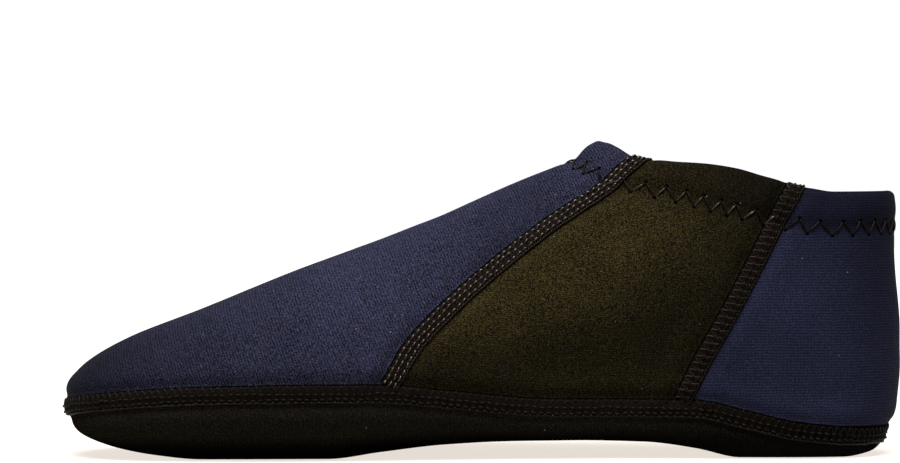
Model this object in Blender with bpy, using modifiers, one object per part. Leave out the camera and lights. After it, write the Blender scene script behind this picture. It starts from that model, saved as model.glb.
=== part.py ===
"""Right travel slipper: a stretch upper, a soft sole tray and the flat raised seams that join its panels.

Sizes are millimetres, made metres as the meshes are written. The toe points to -X, the inner side of the
foot faces -Y and the floor is z = 0. A station is a distance from the toe tip, measured along the foot.
"""

import bmesh
import bpy
import numpy as np

MM = 0.001

# Driving sizes of the last and its walls.
LENGTH = 260.0
COLLAR_FRONT = 166.8
WALL = 2.6
HEM_WALL = 4.4
HEM_DEPTH = 12.0
HEM_RAMP = 8.0
COLLAR_ROUND = 1.9
SOLE_WALL = 3.4
BUTT_GAP = 0.3

# Roundness of the sections: 0.55 draws an ellipse, less is leaner.
SIDE_FULLNESS = 0.52
TOP_FULLNESS = 0.50
CORNER_FULLNESS = 0.55
FLAT_SHARE = 0.62

# The seam bands: a ribbon of stitches that lies on the skin.
SEAM_WIDTH = 6.0
SEAM_THICK = 0.5
SEAM_CLEAR = 0.3
BAND_SHARES = (-0.5, -0.25, 0.0, 0.25, 0.5)
VAMP_SEAM_STEPS = 18
HEEL_SEAM_STEPS = 12

# Mesh fineness.
VAMP_STATIONS = 20
VAMP_END = 150.0
FLARE_STATIONS = (156.0, 160.0, 163.6)
COLLAR_STATIONS = 18
EDGE_ROW = 1.2
UPPER_ROWS = 9
CORNER_ROWS = 5
FLAT_ROWS = 2
CURVE_SAMPLES = 120
GUIDE_REFINE = 4
EDGE_ROW_SHARE = 0.05
HEM_ROWS = 2
HEM_SHARE = 0.3
RAMP_SHARE = 0.1
FOLD_SEGMENTS = 2
NORMAL_STEP = 0.5
WELD = 0.0001

INNER, OUTER = -1, 1

# Linear colour and roughness of each finish.
FINISHES = {
    "navy_jersey": ((0.030, 0.032, 0.066), 0.85),
    "black_sole_fabric": ((0.007, 0.006, 0.005), 0.80),
    "black_thread": ((0.010, 0.009, 0.007), 0.60),
}


def table(names, rows):
    """A short table as named columns."""
    return dict(zip(names.split(), np.array(rows, float).T))


# Plan of the last: the middle line, the half width at the widest level, and the ridge of the vamp.
PLAN = table("station middle half ridge", [
    (0.0, -7.0, 0.0, -7.0),
    (4.0, -6.8, 17.0, -6.8),
    (12.0, -6.0, 28.0, -6.5),
    (25.0, -4.5, 36.5, -5.5),
    (45.0, -2.0, 42.5, -4.5),
    (65.0, 0.6, 45.8, -3.5),
    (85.0, 2.4, 46.8, -2.5),
    (105.0, 3.7, 45.2, -1.5),
    (130.0, 4.6, 41.4, -0.5),
    (155.0, 4.6, 38.0, 0.3),
    (180.0, 3.6, 35.8, 0.5),
    (205.0, 2.0, 34.4, 0.5),
    (225.0, 0.8, 32.6, 0.5),
    (240.0, 0.2, 29.0, 0.3),
    (250.0, 0.0, 22.8, 0.0),
    (256.5, 0.0, 14.4, 0.0),
    (260.0, 0.0, 0.0, 0.0),
])

# Side view of the top line: the ridge of the vamp, which turns up at the collar's front towards the ankle.
# Behind the collar's front this line is above the shoe: the collar cuts the sections off below it.
CREST = table("station height", [
    (0.0, 14.8),
    (1.0, 22.0),
    (4.0, 26.3),
    (10.0, 31.0),
    (20.0, 36.4),
    (40.0, 44.0),
    (75.0, 58.2),
    (110.0, 71.3),
    (140.0, 84.2),
    (154.0, 89.8),
    (158.5, 91.5),
    (163.0, 95.2),
    (166.8, 97.6),
    (172.0, 101.6),
    (180.0, 109.5),
    (192.0, 123.0),
    (206.0, 139.0),
    (222.0, 150.0),
    (260.0, 158.0),
])

# The sole: the seam to the upper, how far the wall tucks in there, and the underside at its two edges.
SOLE = table("station seam tuck outer inner", [
    (0.0, 14.8, 0.00, 14.8, 14.8),
    (2.2, 15.5, 0.00, 11.6, 11.6),
    (5.0, 16.3, 0.00, 8.8, 8.8),
    (10.0, 17.2, 0.00, 5.8, 5.8),
    (19.0, 18.2, 0.00, 3.1, 3.1),
    (30.0, 19.2, 0.00, 1.2, 1.2),
    (44.0, 19.9, 0.00, 0.0, 0.0),
    (82.0, 20.4, 0.01, 0.0, 0.0),
    (98.0, 20.4, 0.02, 1.0, 2.0),
    (118.0, 18.6, 0.03, 2.0, 4.2),
    (150.0, 15.8, 0.05, 2.4, 5.1),
    (178.0, 15.6, 0.06, 2.0, 4.8),
    (194.0, 15.2, 0.06, 1.0, 2.8),
    (208.0, 12.2, 0.06, 0.0, 0.0),
    (225.0, 8.6, 0.06, 0.0, 0.0),
    (244.0, 7.0, 0.06, 0.0, 0.0),
    (252.0, 6.8, 0.06, 1.0, 1.0),
    (258.0, 6.8, 0.06, 3.6, 3.6),
    (260.0, 6.8, 0.06, 6.8, 6.8),
])

# Side view of the collar edge, from the middle of its front to the middle of its back.
COLLAR = table("station height", [
    (166.8, 97.6),
    (170.0, 95.2),
    (175.0, 92.2),
    (182.0, 91.0),
    (196.0, 90.0),
    (206.0, 88.6),
    (216.0, 85.6),
    (227.0, 82.6),
    (238.0, 81.2),
    (250.0, 81.2),
    (260.0, 81.5),
])

# Back line of the heel: how far it stands forward of its bulge at each height.
HEEL_START = 200.0
HEEL = table("height forward", [
    (6.8, 5.2),
    (10.0, 3.6),
    (18.0, 1.3),
    (30.0, 0.2),
    (38.0, 0.2),
    (56.0, 1.6),
    (84.0, 2.4),
])

# The two panel seams seen from the side, from the sole seam up to the collar.
VAMP_SEAM = table("station height", [
    (101.8, 24.6),
    (108.0, 34.6),
    (116.8, 43.6),
    (132.2, 57.2),
    (143.8, 65.0),
    (155.3, 73.6),
    (166.5, 82.4),
    (172.9, 88.2),
    (176.4, 91.0),
])
HEEL_SEAM = table("station height", [
    (190.4, 20.0),
    (194.8, 29.0),
    (204.0, 44.0),
    (214.4, 62.0),
    (220.6, 74.0),
    (225.2, 82.0),
])


def smooth_curve(knots, values, at):
    """Piecewise cubic through the values that never overshoots a row of the table."""
    steps = np.diff(knots)
    rates = np.diff(values) / steps
    near = 2 * steps[1:] + steps[:-1]
    far = steps[1:] + 2 * steps[:-1]
    level = rates[:-1] * rates[1:] <= 0
    before = np.where(level, 1.0, rates[:-1])
    after = np.where(level, 1.0, rates[1:])
    inner = np.where(level, 0.0, (near + far) / (near / before + far / after))
    slopes = np.concatenate([rates[:1], inner, rates[-1:]])
    i = np.clip(np.searchsorted(knots, at) - 1, 0, len(steps) - 1)
    t = np.clip((at - knots[i]) / steps[i], 0.0, 1.0)
    rise = values[i + 1] - values[i]
    start = steps[i] * slopes[i] - rise
    end = rise - steps[i] * slopes[i + 1]
    return values[i] + t * rise + t * (1 - t) * ((1 - t) * start + t * end)


def spread(station, start, end):
    """Angle that opens up the two ends of a span, where an outline turns square to it."""
    return np.arccos(np.clip(1 - 2 * (station - start) / (end - start), -1.0, 1.0))


def stations_between(start, end, count, reach=None):
    """Stations from start to end, close together where the outline turns."""
    angles = np.linspace(0.0, spread(end, start, reach or end), count + 1)
    return start + ((reach or end) - start) * (1 - np.cos(angles)) / 2


def read(columns, name, station):
    """A column of a table of stations, at one station."""
    start, end = columns["station"][0], columns["station"][-1]
    return smooth_curve(spread(columns["station"], start, end), columns[name], spread(station, start, end))


def bezier(points, t):
    t = np.asarray(t)[:, None]
    a, b, c, d = (np.asarray(p) for p in points)
    return a * (1 - t) ** 3 + 3 * b * t * (1 - t) ** 2 + 3 * c * t * t * (1 - t) + d * t ** 3


def seam_point(station, side):
    """Where the upper meets the sole, as (y, z)."""
    half = read(PLAN, "half", station) * (1 - read(SOLE, "tuck", station))
    return np.array([read(PLAN, "middle", station) + side * half, read(SOLE, "seam", station)])


def place(station, section):
    """Section points (y, z) set at their station, bent forward along the back line of the heel."""
    rear = np.clip((station - HEEL_START) / (LENGTH - HEEL_START), 0.0, 1.0)
    weight = rear * rear * (3 - 2 * rear)
    forward = smooth_curve(HEEL["height"], HEEL["forward"], section[:, 1])
    return np.column_stack([station - weight * forward, section])


def upper_curve(station, side):
    """One side of the upper's section, from the sole seam to the ridge, or cut off at the collar edge."""
    foot = seam_point(station, side)
    top = np.array([read(PLAN, "ridge", station), read(CREST, "height", station)])
    rise = top[1] - foot[1]
    bulge = 2 * read(SOLE, "tuck", station) * read(PLAN, "half", station)
    shoulder = foot + np.array([side * bulge, SIDE_FULLNESS * rise])
    crown = top + np.array([TOP_FULLNESS * (foot[0] - top[0]), 0.0])
    section = bezier((foot, shoulder, crown, top), np.linspace(0, 1, CURVE_SAMPLES))
    if station > COLLAR_FRONT:
        edge = read(COLLAR, "height", station)
        kept = section[section[:, 1] < edge]
        end = [np.interp(edge, section[:, 1], section[:, 0]), edge]
        section = np.vstack([kept, end])
    return place(station, section)


def sole_curve(station, side):
    """One side of the sole's section, from the seam round the corner to the middle of the underside."""
    foot = seam_point(station, side)
    middle, half = read(PLAN, "middle", station), read(PLAN, "half", station)
    edges = {INNER: read(SOLE, "inner", station), OUTER: read(SOLE, "outer", station)}
    under = edges[side]
    flat = np.array([middle + side * FLAT_SHARE * half, under])
    centre = np.array([middle, (edges[INNER] + edges[OUTER]) / 2])
    drop = foot[1] - under
    wall = foot - np.array([0.0, CORNER_FULLNESS * drop])
    turn = flat + np.array([CORNER_FULLNESS * (foot[0] - flat[0]), 0.0])
    corner = bezier((foot, wall, turn, flat), np.linspace(0, 1, CURVE_SAMPLES))
    return place(station, corner), place(station, np.array([flat, centre]))


def along(curve, distances):
    """Points at these distances along a polyline."""
    lengths = np.concatenate([[0.0], np.cumsum(np.linalg.norm(np.diff(curve, axis=0), axis=1))])
    return np.column_stack([np.interp(distances, lengths, curve[:, axis]) for axis in range(3)])


def curve_length(curve):
    return float(np.linalg.norm(np.diff(curve, axis=0), axis=1).sum())


def part_seam(points, distances, direction, gap):
    """Draws the first points away from the seam line, so that upper and sole meet with a gap between them."""
    shift = gap / 2 * np.clip(1 - np.asarray(distances) / EDGE_ROW, 0.0, 1.0)
    return points + np.outer(shift, (0.0, 0.0, direction))


def upper_rows(station, side, refine=1, gap=BUTT_GAP):
    """Points of one upper section: close to the seam, spread over the side, and close at the turned hem."""
    curve = upper_curve(station, side)
    length = curve_length(curve)
    near = min(EDGE_ROW, EDGE_ROW_SHARE * length)
    hem = min(HEM_DEPTH, HEM_SHARE * length)
    ramp = min(HEM_RAMP, RAMP_SHARE * length)
    low = np.linspace(near, length - hem, UPPER_ROWS * refine)
    high = np.linspace(length - hem + ramp, length, HEM_ROWS * refine + 1)
    distances = np.concatenate([[0.0], low, high])
    return part_seam(along(curve, distances), distances, 1.0, gap)


def sole_rows(station, side, refine=1, gap=BUTT_GAP):
    """Points of one sole section: close to the seam, round the corner, then flat to the middle."""
    corner, flat = sole_curve(station, side)
    length = curve_length(corner)
    near = min(EDGE_ROW, EDGE_ROW_SHARE * length)
    distances = np.concatenate([[0.0], np.linspace(near, length, CORNER_ROWS * refine + 1)])
    turn = part_seam(along(corner, distances), distances, -1.0, gap)
    floor = np.linspace(turn[-1], turn[-1] + flat[1] - flat[0], FLAT_ROWS * refine + 1)[1:]
    return np.vstack([turn, floor])


def stations(refine=1):
    """Stations from the toe tip to the heel, close at the toe, at the collar's front and at the heel."""
    vamp = stations_between(0.0, VAMP_END, VAMP_STATIONS * refine, LENGTH)
    flare = np.interp(np.linspace(0, 4, 4 * refine + 1), range(5), (VAMP_END, *FLARE_STATIONS, COLLAR_FRONT))
    collar = stations_between(COLLAR_FRONT, LENGTH, COLLAR_STATIONS * refine)
    return np.concatenate([vamp, flare[1:], collar[1:]])


def new_object(name, bm, finish, parent, collection):
    """A mesh object with its finish, hung on the shoe's frame."""
    mesh = bpy.data.meshes.new(name)
    bm.to_mesh(mesh)
    bm.free()
    mesh.shade_smooth()
    part = bpy.data.objects.new(name, mesh)
    part.parent = parent
    collection.objects.link(part)
    colour, roughness = FINISHES[finish]
    material = bpy.data.materials.get(finish) or bpy.data.materials.new(finish)
    material.use_nodes = True
    shader = material.node_tree.nodes["Principled BSDF"]
    shader.inputs["Base Color"].default_value = (*colour, 1.0)
    shader.inputs["Roughness"].default_value = roughness
    shader.inputs["Metallic"].default_value = 0.0
    mesh.materials.append(material)
    return part


def add_grid(bm, rows, facing_out):
    """Faces between neighbouring rows of points, turned so that they face out of the shoe."""
    verts = [[bm.verts.new(point * MM) for point in row] for row in rows]
    for near, far in zip(verts, verts[1:]):
        for j in range(len(near) - 1):
            corners = [near[j], near[j + 1], far[j + 1], far[j]]
            bm.faces.new(corners if facing_out else corners[::-1])


def skin(rows_at, refine=1, gap=BUTT_GAP):
    """Open surface of both sides of the shoe, joined where the sides meet."""
    bm = bmesh.new()
    for side in (INNER, OUTER):
        upward = rows_at is upper_rows
        add_grid(bm, [rows_at(s, side, refine, gap) for s in stations(refine)], (side == OUTER) == upward)
    bmesh.ops.remove_doubles(bm, verts=bm.verts, dist=WELD * MM)
    return bm


def collar_line():
    """Points of the collar edge, on both sides."""
    rear = [s for s in stations() if s >= COLLAR_FRONT]
    return np.array([upper_curve(s, side)[-1] for side in (INNER, OUTER) for s in rear])


def solidify(part, thickness, outward, group=""):
    shell = part.modifiers.new("wall", "SOLIDIFY")
    shell.thickness = thickness * MM
    shell.offset = 1.0 if outward else -1.0
    shell.use_even_offset = True
    shell.use_quality_normals = True
    shell.vertex_group = group
    return shell


def make_upper(parent, collection):
    """The stretch upper: one wall, thicker where the collar is turned in, open above and below."""
    bm = skin(upper_rows)
    edge = collar_line()
    weights = bm.edges.layers.float.new("bevel_weight_edge")
    for e in bm.edges:
        at_collar = min(v.co.z for v in e.verts) > (COLLAR["height"].min() - HEM_DEPTH / 2) * MM
        if e.is_boundary and at_collar:
            e[weights] = 1.0
    depth = [np.linalg.norm(edge - np.array(v.co) / MM, axis=1).min() for v in bm.verts]
    upper = new_object("upper", bm, "navy_jersey", parent, collection)
    group = upper.vertex_groups.new(name="wall")
    for index, distance in enumerate(depth):
        turned = np.clip((HEM_DEPTH - distance) / HEM_RAMP, 0.0, 1.0)
        group.add([index], (WALL + (HEM_WALL - WALL) * turned) / HEM_WALL, "REPLACE")
    solidify(upper, HEM_WALL, False, group.name)
    fold = upper.modifiers.new("fold", "BEVEL")
    fold.limit_method = "WEIGHT"
    fold.width = COLLAR_ROUND * MM
    fold.segments = FOLD_SEGMENTS
    return upper


def make_sole(parent, collection):
    """The soft sole: a shallow tray that rises to the seam, with a flat under the heel and the forefoot."""
    sole = new_object("sole", skin(sole_rows), "black_sole_fabric", parent, collection)
    solidify(sole, SOLE_WALL, False)
    return sole


def make_guide(parent, collection):
    """The smooth outside of the whole shoe, on which the seam bands are laid. It isn't a part."""
    bm = skin(upper_rows, GUIDE_REFINE, 0.0)
    below = skin(sole_rows, GUIDE_REFINE, 0.0)
    lower = bpy.data.meshes.new("lower")
    below.to_mesh(lower)
    below.free()
    bm.from_mesh(lower)
    bpy.data.meshes.remove(lower)
    bmesh.ops.remove_doubles(bm, verts=bm.verts, dist=WELD * MM)
    guide = new_object("last_form", bm, "navy_jersey", parent, collection)
    guide.hide_render = True
    guide.display_type = "WIRE"
    return guide


def side_point(station, height, side):
    """The point of the upper's outside at a station and height, and the direction out of it."""

    def at(s, z):
        curve = upper_curve(s, side)
        return np.array([np.interp(z, curve[:, 2], curve[:, axis]) for axis in range(3)])

    ahead = at(station + NORMAL_STEP, height) - at(station - NORMAL_STEP, height)
    above = at(station, height + NORMAL_STEP) - at(station, height - NORMAL_STEP)
    out = np.cross(ahead, above) * -side
    return at(station, height), out / np.linalg.norm(out)


def make_band(name, centre, across, closed, guide, parent, collection):
    """A raised seam: a ribbon laid on the outside of the shoe and thickened outwards."""
    rows = [point + np.outer(BAND_SHARES, way) * SEAM_WIDTH for point, way in zip(centre, across)]
    if closed:
        rows.append(rows[0])
    bm = bmesh.new()
    add_grid(bm, rows, True)
    bmesh.ops.remove_doubles(bm, verts=bm.verts, dist=WELD * MM)
    band = new_object(name, bm, "black_thread", parent, collection)
    lay = band.modifiers.new("lay", "SHRINKWRAP")
    lay.target = guide
    lay.wrap_method = "NEAREST_SURFACEPOINT"
    lay.wrap_mode = "ABOVE_SURFACE"
    lay.offset = SEAM_CLEAR * MM
    solidify(band, SEAM_THICK, True)
    return band


def make_sole_seam(guide, parent, collection):
    """The seam that joins upper and sole, all round the shoe."""
    inner = [upper_curve(s, INNER)[0] for s in stations()]
    outer = [upper_curve(s, OUTER)[0] for s in stations()]
    centre = inner[::-1] + outer[1:-1]
    upright = np.array([0.0, 0.0, 1.0])
    return make_band("seam_sole", centre, [upright] * len(centre), True, guide, parent, collection)


def make_panel_seam(name, line, count, side, guide, parent, collection):
    """A seam between two panels of the upper, drawn from the side."""
    reach = np.linspace(0, 1, len(line["station"]))
    shares = np.linspace(0, 1, count)
    spots = [(smooth_curve(reach, line["station"], t), smooth_curve(reach, line["height"], t)) for t in shares]
    frames = [side_point(s, z, side) for s, z in spots]
    centre = np.array([point for point, _ in frames])
    ways = np.gradient(centre, axis=0)
    across = [np.cross(out, way) / np.linalg.norm(way) * side for (_, out), way in zip(frames, ways)]
    ordered = (centre, across) if side == INNER else (centre[::-1], across[::-1])
    return make_band(name, *ordered, False, guide, parent, collection)


def centre_on_floor(parts, root):
    """Moves the shoe so that the origin is under the middle of its box, on the floor."""
    bpy.context.view_layer.update()
    graph = bpy.context.evaluated_depsgraph_get()
    corners = np.array([corner for part in parts for corner in part.evaluated_get(graph).bound_box])
    middle = (corners.min(axis=0) + corners.max(axis=0)) / 2
    root.location = (-middle[0], -middle[1], 0.0)


def new_collection(name):
    collection = bpy.data.collections.new(name)
    bpy.context.scene.collection.children.link(collection)
    return collection


def main():
    for old in list(bpy.data.objects):
        bpy.data.objects.remove(old)
    slipper = new_collection("travel_slipper")
    guides = new_collection("guides")
    root = bpy.data.objects.new("slipper_frame", None)
    slipper.objects.link(root)
    guide = make_guide(root, guides)
    parts = [make_upper(root, slipper), make_sole(root, slipper), make_sole_seam(guide, root, slipper)]
    for side, word in ((INNER, "inner"), (OUTER, "outer")):
        vamp = make_panel_seam(f"seam_vamp_{word}", VAMP_SEAM, VAMP_SEAM_STEPS, side, guide, root, slipper)
        heel = make_panel_seam(f"seam_heel_{word}", HEEL_SEAM, HEEL_SEAM_STEPS, side, guide, root, slipper)
        parts += [vamp, heel]
    centre_on_floor(parts, root)


main()
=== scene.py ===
# %% [markdown]
# # A travel slipper, sewn from foam-backed jersey
#
# The real slipper is four panels of thin stretch foam with jersey on both faces: a navy vamp over the toes,
# two black side panels and a navy heel panel. The panels are butted edge to edge and joined by flat seams,
# and a soft black sole closes them below. This lesson builds each panel, the sole and the thread on it, one
# piece at a time.
#
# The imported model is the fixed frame. It says where each piece is, so nothing has to be fitted: every point
# below is worked out in the same axes. The toe points to -X, the inner side of the foot faces -Y and the
# floor is z = 0.

import math

import bmesh
import bpy
import numpy as np
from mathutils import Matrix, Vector, kdtree, noise
from mathutils.bvhtree import BVHTree


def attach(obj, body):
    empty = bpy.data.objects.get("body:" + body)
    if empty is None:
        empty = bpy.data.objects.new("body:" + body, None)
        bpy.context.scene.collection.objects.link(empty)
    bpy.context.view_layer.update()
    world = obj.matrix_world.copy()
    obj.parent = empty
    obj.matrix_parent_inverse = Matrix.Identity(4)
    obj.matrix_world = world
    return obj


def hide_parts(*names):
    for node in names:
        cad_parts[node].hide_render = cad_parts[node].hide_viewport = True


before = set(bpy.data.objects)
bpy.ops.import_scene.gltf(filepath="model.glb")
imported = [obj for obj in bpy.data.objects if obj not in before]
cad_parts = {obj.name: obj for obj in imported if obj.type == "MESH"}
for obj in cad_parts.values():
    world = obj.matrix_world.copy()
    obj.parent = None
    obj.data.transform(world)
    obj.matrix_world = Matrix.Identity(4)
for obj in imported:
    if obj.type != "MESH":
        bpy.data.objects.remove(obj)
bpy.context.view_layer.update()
MM = 0.001

# %% [markdown]
# ## The last
#
# A last is the wooden form that a shoe is made on. It could be sculpted, but then its sizes would be hard to
# read. Here it is short tables: a row is a station, which is a distance from the toe tip in millimetres. The
# solid model was made from such tables too, so a panel drawn from them lies where its solid is. Only the
# collar and the two panel seams are traced a little closer to the real shoe here, by up to two millimetres.

# %% Form of the last
LENGTH = 260.0
COLLAR_FRONT = 166.8
HEEL_START = 200.0
SIDE_FULLNESS, TOP_FULLNESS, CORNER_FULLNESS, FLAT_SHARE = 0.52, 0.50, 0.55, 0.62
# From the toe tip's own axes to the frame's, whose origin is under the middle of the shoe.
SHOE_TO_FRAME = np.array([-129.4984, -1.7759, 0.0])
INNER, OUTER = -1, 1


def table(names, rows):
    """A short table as named columns."""
    return dict(zip(names.split(), np.array(rows, float).T))


# Seen from above: the middle line, half the width, and the line of the ridge.
PLAN = table("station middle half ridge", [
    (0.0, -7.0, 0.0, -7.0), (4.0, -6.8, 17.0, -6.8), (12.0, -6.0, 28.0, -6.5), (25.0, -4.5, 36.5, -5.5),
    (45.0, -2.0, 42.5, -4.5), (65.0, 0.6, 45.8, -3.5), (85.0, 2.4, 46.8, -2.5), (105.0, 3.7, 45.2, -1.5),
    (130.0, 4.6, 41.4, -0.5), (155.0, 4.6, 38.0, 0.3), (180.0, 3.6, 35.8, 0.5), (205.0, 2.0, 34.4, 0.5),
    (225.0, 0.8, 32.6, 0.5), (240.0, 0.2, 29.0, 0.3), (250.0, 0.0, 22.8, 0.0), (256.5, 0.0, 14.4, 0.0),
    (260.0, 0.0, 0.0, 0.0),
])
# The height of the ridge. Behind the front of the collar it only shapes the sides, because it is cut away.
CREST = table("station height", [
    (0.0, 14.8), (1.0, 22.0), (4.0, 26.3), (10.0, 31.0), (20.0, 36.4), (40.0, 44.0), (75.0, 58.2),
    (110.0, 71.3), (140.0, 84.2), (154.0, 89.8), (158.5, 91.5), (163.0, 95.2), (166.8, 97.6), (172.0, 101.6),
    (180.0, 109.5), (192.0, 123.0), (206.0, 139.0), (222.0, 150.0), (260.0, 158.0),
])
# The sole: the height of its seam, how far the wall tucks in there, and the underside at its two edges.
SOLE = table("station seam tuck outer inner", [
    (0.0, 14.8, 0.00, 14.8, 14.8), (2.2, 15.5, 0.00, 11.6, 11.6), (5.0, 16.3, 0.00, 8.8, 8.8),
    (10.0, 17.2, 0.00, 5.8, 5.8), (19.0, 18.2, 0.00, 3.1, 3.1), (30.0, 19.2, 0.00, 1.2, 1.2),
    (44.0, 19.9, 0.00, 0.0, 0.0), (82.0, 20.4, 0.01, 0.0, 0.0), (98.0, 20.4, 0.02, 1.0, 2.0),
    (118.0, 18.6, 0.03, 2.0, 4.2), (150.0, 15.8, 0.05, 2.4, 5.1), (178.0, 15.6, 0.06, 2.0, 4.8),
    (194.0, 15.2, 0.06, 1.0, 2.8), (208.0, 12.2, 0.06, 0.0, 0.0), (225.0, 8.6, 0.06, 0.0, 0.0),
    (244.0, 7.0, 0.06, 0.0, 0.0), (252.0, 6.8, 0.06, 1.0, 1.0), (258.0, 6.8, 0.06, 3.6, 3.6),
    (260.0, 6.8, 0.06, 6.8, 6.8),
])
# The back line of the heel: how far forward it bends at each height.
HEEL = table("height forward", [
    (6.8, 5.2), (10.0, 3.6), (18.0, 1.3), (30.0, 0.2), (38.0, 0.2), (56.0, 1.6), (84.0, 2.4),
])
print("last:", LENGTH, "mm long,", 2 * PLAN["half"].max(), "mm wide at the ball")

# %% Edges of the panels
COLLAR = table("station height", [
    (166.8, 97.6), (168.6, 97.0), (170.4, 95.9), (175.0, 93.0), (182.0, 91.6), (196.0, 90.5), (206.0, 88.9),
    (216.0, 86.0), (227.0, 83.2), (238.0, 81.6), (250.0, 81.7), (260.0, 82.1),
])
VAMP_SEAM = table("station height", [
    (101.8, 24.6), (108.0, 34.8), (116.8, 44.2), (132.2, 58.0), (143.8, 67.0), (149.5, 71.3), (155.3, 75.1),
    (166.5, 82.6), (172.9, 88.2), (176.4, 91.0),
])
HEEL_SEAM = table("station height", [
    (190.4, 20.0), (194.8, 29.0), (203.3, 44.0), (213.0, 62.0), (219.5, 74.0), (224.4, 82.0),
])
print("collar from", COLLAR["height"].min(), "to", COLLAR["height"].max(), "mm high")

# %% [markdown]
# ## Reading the last
#
# Each cross section of the upper is one cubic curve from the sole seam to the ridge, cut off where the collar
# is. Blender's curve objects could draw such sections, but a formula can be asked for any single point: by
# its station, its side and how far it is up the section's curve. numpy works on whole arrays of points at
# once, which keeps a grid of thirty thousand points quick.

# %% Curves
HALVINGS = 40


def smooth_curve(knots, values, at):
    """Piecewise cubic through the values that never overshoots a row of the table."""
    steps = np.diff(knots)
    rates = np.diff(values) / steps
    near, far = 2 * steps[1:] + steps[:-1], steps[1:] + 2 * steps[:-1]
    level = rates[:-1] * rates[1:] <= 0
    before, after = np.where(level, 1.0, rates[:-1]), np.where(level, 1.0, rates[1:])
    between = np.where(level, 0.0, (near + far) / (near / before + far / after))
    slopes = np.concatenate([rates[:1], between, rates[-1:]])
    i = np.clip(np.searchsorted(knots, at) - 1, 0, len(steps) - 1)
    t = np.clip((at - knots[i]) / steps[i], 0.0, 1.0)
    rise = values[i + 1] - values[i]
    start, end = steps[i] * slopes[i] - rise, rise - steps[i] * slopes[i + 1]
    return values[i] + t * rise + t * (1 - t) * ((1 - t) * start + t * end)


def read(columns, name, station):
    """A column of a table at these stations. The angle opens up the ends, where an outline turns square."""
    first, last = columns["station"][0], columns["station"][-1]
    shares = [(s - first) / (last - first) for s in (columns["station"], station)]
    knots, at = (np.arccos(np.clip(1 - 2 * share, -1, 1)) for share in shares)
    return smooth_curve(knots, columns[name], at)


def cubic(points, t):
    """Values on a cubic curve from its four control values."""
    a, b, c, d = points
    return a * (1 - t) ** 3 + 3 * b * t * (1 - t) ** 2 + 3 * c * t * t * (1 - t) + d * t ** 3


def solve(points, value):
    """Where a rising cubic reaches a value, or its end."""
    low, high = np.zeros_like(value), np.ones_like(value)
    for _ in range(HALVINGS):
        middle = (low + high) / 2
        above = cubic(points, middle) > value
        low, high = np.where(above, low, middle), np.where(above, middle, high)
    return high


print("ridge above the ball mm", read(CREST, "height", np.array([85.0])).round(1))


# %% Sections
def section(station, side):
    """Control points of the upper's section in y and z, and how much of it stays below the collar."""
    half, tuck = read(PLAN, "half", station), read(SOLE, "tuck", station)
    foot_y, foot_z = read(PLAN, "middle", station) + side * half * (1 - tuck), read(SOLE, "seam", station)
    top_y, top_z = read(PLAN, "ridge", station), read(CREST, "height", station)
    across = (foot_y, foot_y + side * 2 * tuck * half, top_y + TOP_FULLNESS * (foot_y - top_y), top_y)
    upward = (foot_z, foot_z + SIDE_FULLNESS * (top_z - foot_z), top_z, top_z)
    edge = np.where(station > COLLAR_FRONT, read(COLLAR, "height", station), np.inf)
    return across, upward, solve(upward, edge)


def place(station, y, z):
    """Section points at their station, bent forward along the back line of the heel, in the frame's axes."""
    rear = np.clip((station - HEEL_START) / (LENGTH - HEEL_START), 0.0, 1.0)
    forward = rear * rear * (3 - 2 * rear) * smooth_curve(HEEL["height"], HEEL["forward"], z)
    return np.column_stack([station - forward, y, z]) + SHOE_TO_FRAME


def upper_points(station, side, way):
    """Points of the upper's outside, for arrays of stations and of how far up the section's curve."""
    s, t = (np.ravel(a).astype(float) for a in np.broadcast_arrays(station, way))
    across, upward, _ = section(s, side)
    return place(s, cubic(across, t), cubic(upward, t))


toe, heel_back = upper_points([0.0, LENGTH], INNER, [0.0, 0.3])
print("toe tip mm", toe.round(1), "heel mm", heel_back.round(1))

# %% [markdown]
# ## Where the panels meet
#
# On the shoe two panels are cut to one line and sewn edge to edge. Two separate outlines could leave a gap or
# overlap, so a seam is drawn once, from the side, as stations and heights. Each row of a panel's grid ends at
# a share of the seam's length. So two panels share an edge exactly, and the flat seam covers the joint.

# %% Panel seam lines
SEAM_REACH, SEAM_SAMPLES = 8, 3201
SEAM_SHARES = np.linspace(0, 1, 321)
SIDES = ((INNER, "inner"), (OUTER, "outer"))


def run_on(line, station):
    """Height of a seam at these stations, run on straight past both ends of its table."""
    s, h = line["station"], line["height"]
    first, last = (h[1] - h[0]) / (s[1] - s[0]), (h[-1] - h[-2]) / (s[-1] - s[-2])
    before, after = np.minimum(station - s[0], 0), np.maximum(station - s[-1], 0)
    return smooth_curve(s, h, station) + before * first + after * last


def seam_path(line, side, shares):
    """Stations and ways up the sections at shares of a seam's length, from the sole seam to the collar."""
    s = np.linspace(line["station"][0] - SEAM_REACH, line["station"][-1] + SEAM_REACH, SEAM_SAMPLES)
    s = s[(run_on(line, s) > read(SOLE, "seam", s)) & (run_on(line, s) < read(COLLAR, "height", s))]
    t = solve(section(s, side)[1], run_on(line, s))
    t[0], t[-1] = 0.0, section(s[-1:], side)[2][0]
    steps = np.linalg.norm(np.diff(upper_points(s, side, t), axis=0), axis=1)
    length = np.cumsum(np.pad(steps, (1, 0)))
    return np.interp(shares, length / length[-1], s), np.interp(shares, length / length[-1], t)


seam_lines = {}
for side, word in SIDES:
    for name, line in (("vamp", VAMP_SEAM), ("heel", HEEL_SEAM)):
        stations, ways = seam_path(line, side, SEAM_SHARES)
        seam_lines[name, side] = upper_points(stations, side, ways)
    print(word, "vamp seam", seam_lines["vamp", side][[0, -1]].round(1).tolist())


# %% Sole seam and collar lines
def crowded(start, end, count):
    """Stations that crowd together at both ends, where an outline turns square."""
    return start + (end - start) * (1 - np.cos(np.linspace(0, np.pi, count))) / 2


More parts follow.
